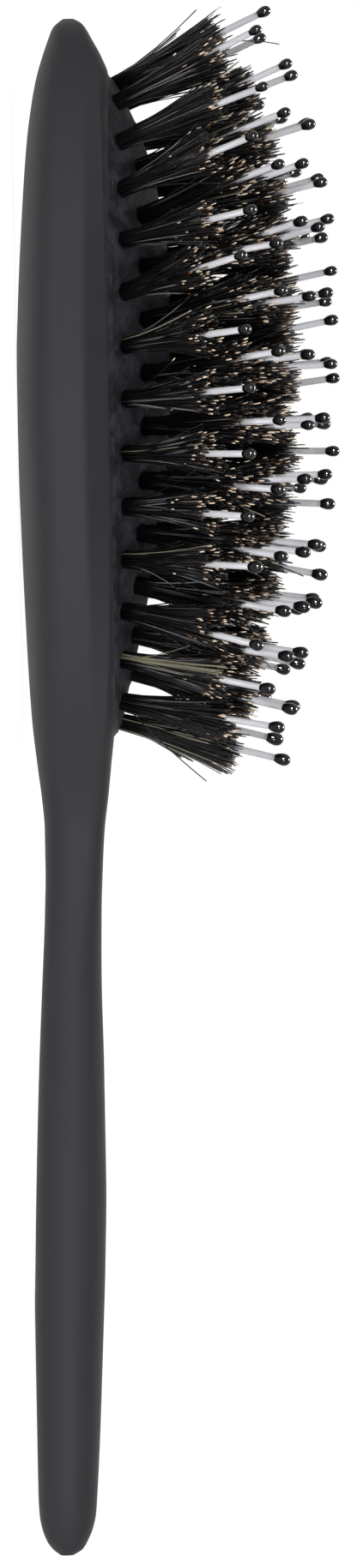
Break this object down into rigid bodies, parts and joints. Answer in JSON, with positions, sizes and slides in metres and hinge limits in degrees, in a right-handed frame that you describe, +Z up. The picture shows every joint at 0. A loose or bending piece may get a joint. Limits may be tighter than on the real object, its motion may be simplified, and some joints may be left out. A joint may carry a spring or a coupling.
{
  "type": "cushion brush",
  "caption": "Oval air-cushion hair brush with a one-piece handle, and tufts of dark bristle around ball-tipped pins that sink as the cushion is pressed.",
  "frame": {"origin": "under the middle of the brush's length, on the surface that its back rests on", "axes": "+X along the brush to the head's tip, +Y across to its left side, +Z up, the way the bristles point"},
  "size_m": [0.231, 0.0769, 0.0481],
  "materials": {
    "body": "soft-touch black coating, nearly matt",
    "cushion": "dark grey rubber, slightly grainy",
    "bristle": "dark natural bristle with brown to cream tips",
    "pins": "milky white nylon with a glossy black ball at each tip"
  },
  "bodies": {
    "handle": {"handle_body": "body", "cushion_pad": "cushion"},
    "centre_row": {"tufts_centre": "bristle", "pins_centre": "pins"},
    "inner_ring": {"tufts_inner_front_left": "bristle", "pins_inner_front_left": "pins", "tufts_inner_front_right": "bristle", "pins_inner_front_right": "pins", "tufts_inner_rear_left": "bristle", "pins_inner_rear_left": "pins", "tufts_inner_rear_right": "bristle", "pins_inner_rear_right": "pins"},
    "middle_ring": {"tufts_middle_front_left": "bristle", "pins_middle_front_left": "pins", "tufts_middle_front_right": "bristle", "pins_middle_front_right": "pins", "tufts_middle_rear_left": "bristle", "pins_middle_rear_left": "pins", "tufts_middle_rear_right": "bristle", "pins_middle_rear_right": "pins"},
    "outer_ring": {"tufts_outer_front_left": "bristle", "pins_outer_front_left": "pins", "tufts_outer_front_right": "bristle", "pins_outer_front_right": "pins", "tufts_outer_rear_left": "bristle", "pins_outer_rear_left": "pins", "tufts_outer_rear_right": "bristle", "pins_outer_rear_right": "pins"},
    "edge_ring": {"tufts_edge_front": "bristle", "pins_edge_front": "pins", "tufts_edge_rear": "bristle", "pins_edge_rear": "pins", "tufts_edge_left": "bristle", "pins_edge_left": "pins", "tufts_edge_right": "bristle", "pins_edge_right": "pins"}
  },
  "joints": [
    {"name": "press_centre", "type": "slide", "parent": "handle", "child": "centre_row", "axis": [0, 0, 1], "range_m": [-0.003, 0], "stiffness_N_per_m": 2500, "deforming": ["cushion_pad"]},
    {"name": "press_inner", "type": "slide", "parent": "handle", "child": "inner_ring", "axis": [0, 0, 1], "range_m": [-0.00297, 0]},
    {"name": "press_middle", "type": "slide", "parent": "handle", "child": "middle_ring", "axis": [0, 0, 1], "range_m": [-0.00273, 0]},
    {"name": "press_outer", "type": "slide", "parent": "handle", "child": "outer_ring", "axis": [0, 0, 1], "range_m": [-0.00192, 0]},
    {"name": "press_edge", "type": "slide", "parent": "handle", "child": "edge_ring", "axis": [0, 0, 1], "range_m": [-0.00069, 0]}
  ],
  "couplings": [
    {"joint": "press_inner", "follows": "press_centre", "ratio": 0.99},
    {"joint": "press_middle", "follows": "press_centre", "ratio": 0.91},
    {"joint": "press_outer", "follows": "press_centre", "ratio": 0.64},
    {"joint": "press_edge", "follows": "press_centre", "ratio": 0.23}
  ]
}
